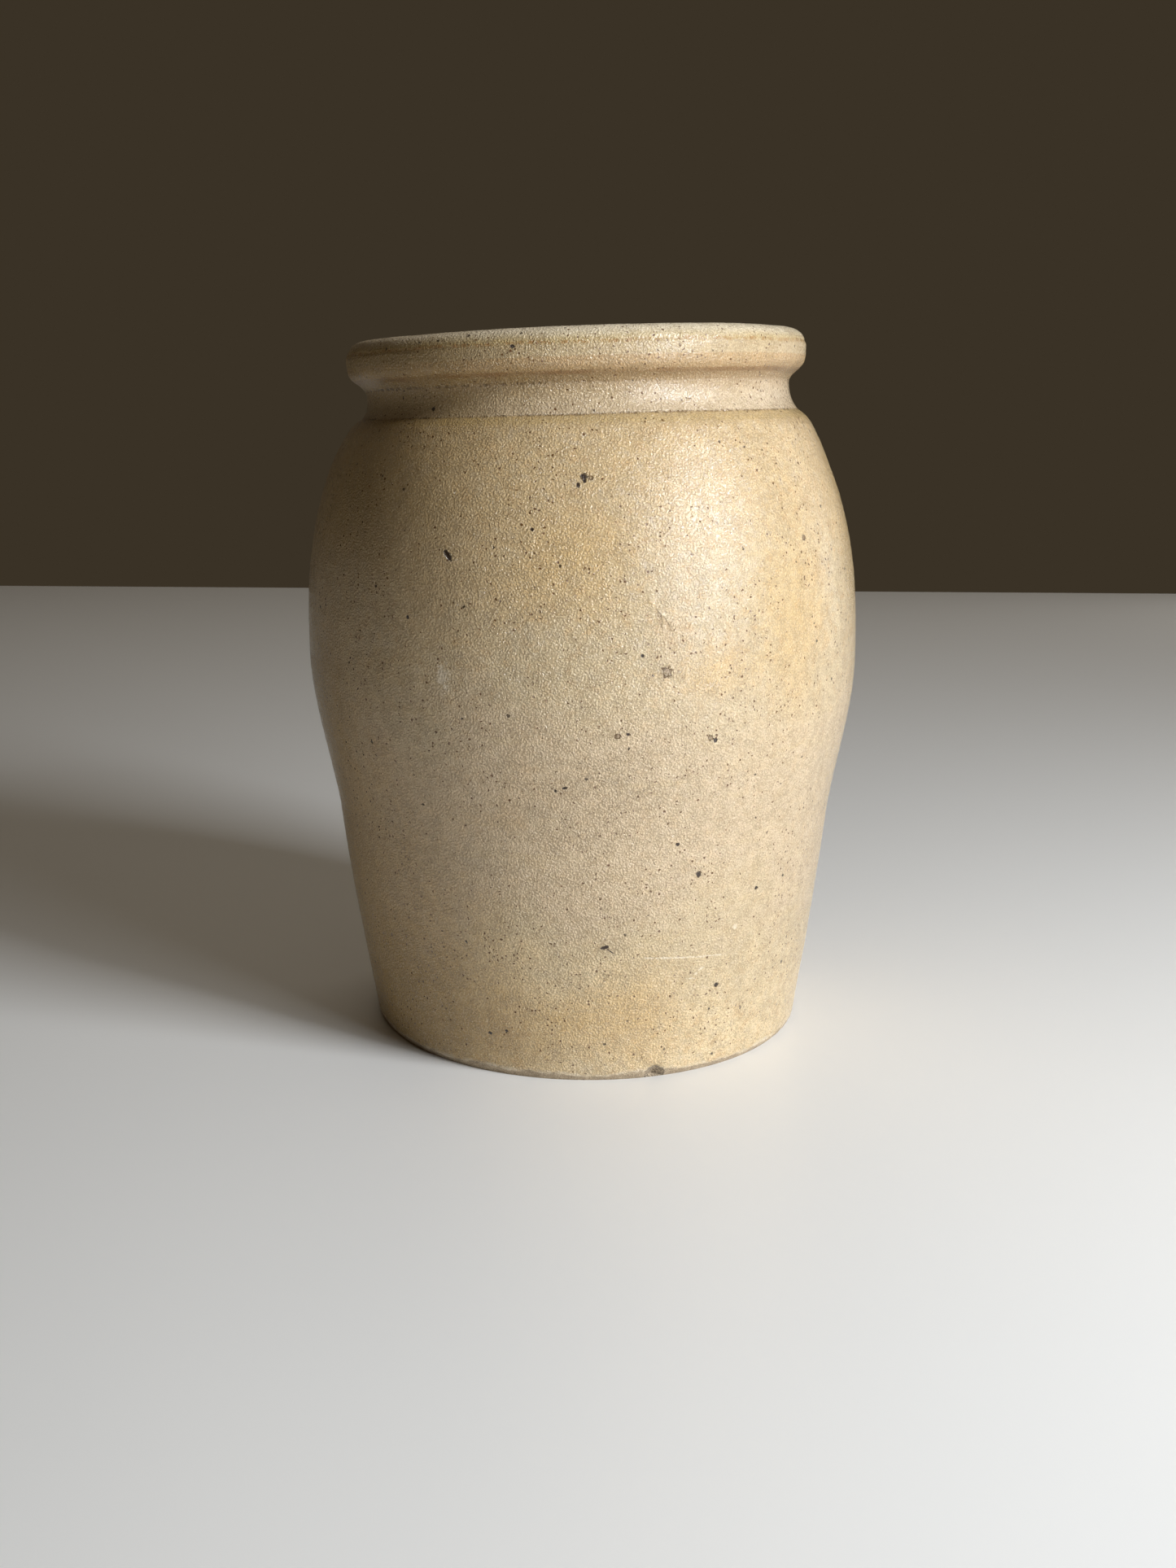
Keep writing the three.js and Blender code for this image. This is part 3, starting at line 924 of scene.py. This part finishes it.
        self.mask.update(pits=pits, scratches=scratches, scars=scars, soot=soot, soot_grain=soot_grain,
                         rings=rings, chip=chip)

    def gloss(self, roughness):
        """Roughness by place, and an even specular level."""
        height = self.height
        self.mask["neck"] = self.times(
            self.step(height, CREASE, CREASE + 1.0), self.step(height, COLLAR + 0.5, COLLAR - 0.5))
        dull = [self.times(self.mask[kind], amount) for kind, amount in DULLING.items()]
        clouded = self.centred(self.mottle, MOTTLE_DULLING), self.centred(self.clouds, CLOUD_DULLING)
        rough = self.math("ADD", self.total(*dull, *clouded), roughness, clamp=True)
        self.feed(self.shader.inputs["Roughness"], rough)
        self.shader.inputs["Specular IOR Level"].default_value = GLAZE_SPECULAR

    def fine_relief(self):
        """Relief finer than the mesh."""
        plain = self.math("MAXIMUM", self.mask["bare"], self.times(self.inside, 0.6))
        self.mask["peel"] = self.times(self.hollow, self.math("SUBTRACT", 1.0, self.times(plain, 0.7)))
        self.mask["torn_chip"] = self.times(self.mask["chip"], self.mottle)
        bump = self.add("Bump")
        bump.inputs["Strength"].default_value = 1.0
        bump.inputs["Distance"].default_value = MM
        stand_out = [self.times(self.mask[kind], amount) for kind, amount in STAND_OUT.items()]
        self.feed(bump.inputs["Height"], self.total(*stand_out))
        self.feed(self.shader.inputs["Normal"], bump.outputs["Normal"])


# ------------------------------------------------------------- build the jar
PIECES = {
    # node: (record's slot, base roughness, lanes of outside and inside in the map)
    "base_slab": ("bare_clay_foot", 0.2, (2, 1)),
    "lower_wall": ("salt_glaze_lower", 0.18, (3, 1)),
    "belly_wall": ("salt_glaze_belly", 0.14, (3, 1)),
    "shoulder_wall": ("salt_glaze_shoulder", 0.07, (3, 1)),
    "neck_band": ("salt_glaze_neck", 0.10, (5, 1)),
    "rim_collar": ("salt_glaze_rim", 0.18, (4, 1)),
}

skin = surface()
row_nodes, _, row_places, *_ = skin
for node, (slot, roughness, lanes) in PIECES.items():
    heights = [row_places[row, 0, 2] for row, name in enumerate(row_nodes) if name == node]
    piece = build_piece(node, skin, lanes)
    piece.data.materials.append(Glaze(slot, min(heights), max(heights), roughness).material)
    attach(piece, "root")
    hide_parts(node)

# -------------------------------------------------------------------- stage
FLOOR_FRONT, FLOOR_BACK, FLOOR_SIDE = -3.0, 1.39, 3.2
floor_mesh = bpy.data.meshes.new("worktop")
floor_corners = [
    (-FLOOR_SIDE, FLOOR_FRONT, 0), (FLOOR_SIDE, FLOOR_FRONT, 0),
    (FLOOR_SIDE, FLOOR_BACK, 0), (-FLOOR_SIDE, FLOOR_BACK, 0)]
floor_mesh.from_pydata(floor_corners, [], [(0, 1, 2, 3)])
floor = bpy.data.objects.new("worktop", floor_mesh)
bpy.context.scene.collection.objects.link(floor)
floor_paint = Graph("pale_worktop")
floor_paint.shader.inputs["Base Color"].default_value = srgb(244, 243, 239)
floor_paint.shader.inputs["Roughness"].default_value = 0.38
floor_mesh.materials.append(floor_paint.material)

DIM_ROOM, ROOM_BEHIND = srgb(36, 25, 11), srgb(58, 50, 38)
world = bpy.data.worlds.new("room")
bpy.context.scene.world = world
world.use_nodes = True
# Dim and warm on the viewer's side of the jar, a little lighter behind it.
room = world.node_tree
facing = room.nodes.new("ShaderNodeSeparateXYZ")
room.links.new(room.nodes.new("ShaderNodeTexCoord").outputs["Generated"], facing.inputs[0])
behind = room.nodes.new("ShaderNodeMapRange")
behind.interpolation_type = "SMOOTHSTEP"
behind.inputs["From Min"].default_value = -0.7
behind.inputs["From Max"].default_value = 0.85
room.links.new(facing.outputs["Y"], behind.inputs["Value"])
room_tone = room.nodes.new("ShaderNodeMix")
room_tone.data_type = "RGBA"
room_tone.inputs[6].default_value = DIM_ROOM
room_tone.inputs[7].default_value = ROOM_BEHIND
room.links.new(behind.outputs["Result"], room_tone.inputs["Factor"])
room.links.new(room_tone.outputs[2], room.nodes["Background"].inputs["Color"])


DAYLIGHT = (0.94, 0.985, 1.05)
LIGHTS_AIM = Vector((0, 0, 0.12))


def soft_light(name, azimuth, elevation, distance, size, power, colour):
    """A soft panel facing the jar. Azimuth is degrees round from the viewer's side
    towards +X, and sizes and distances are in metres."""
    a, e = math.radians(azimuth), math.radians(elevation)
    away = Vector((math.sin(a) * math.cos(e), -math.cos(a) * math.cos(e), math.sin(e)))
    data = bpy.data.lights.new(name, "AREA")
    data.shape = "RECTANGLE"
    data.size, data.size_y = size
    data.energy = power
    data.color = colour
    light = bpy.data.objects.new(name, data)
    light.location = LIGHTS_AIM + away * distance
    light.rotation_euler = away.to_track_quat("Z", "Y").to_euler()
    bpy.context.scene.collection.objects.link(light)


soft_light("window_upper", 55, 30, 1.1, (0.34, 0.25), 10.8, DAYLIGHT)
soft_light("window_lower", 45, 8, 1.1, (0.30, 0.12), 4.9, DAYLIGHT)
soft_light("ceiling", 0, 82, 2.2, (2.0, 2.0), 2.4, (1.0, 0.89, 0.72))
soft_light("side_window", 140, 6, 1.6, (0.35, 0.9), 1.3, (1.0, 0.97, 0.93))
soft_light("back_fill", 180, 46, 1.9, (1.6, 1.0), 3.8, (1.0, 0.92, 0.80))

camera_data = bpy.data.cameras.new("viewer")
camera_data.sensor_fit = "VERTICAL"
camera_data.sensor_height = 36
camera_data.lens = 36.41
camera = bpy.data.objects.new("viewer", camera_data)
CAMERA_PLACE = Vector((0.0002, -0.5516, 0.2098))
CAMERA_DOWN = math.radians(13.15)
CAMERA_ROLL = math.radians(0.385)
camera.matrix_world = (
    Matrix.Translation(CAMERA_PLACE)
    @ Matrix.Rotation(math.pi / 2 - CAMERA_DOWN, 4, "X")
    @ Matrix.Rotation(CAMERA_ROLL, 4, "Z"))
bpy.context.scene.collection.objects.link(camera)
bpy.context.scene.camera = camera
bpy.context.scene.view_settings.view_transform = "Standard"
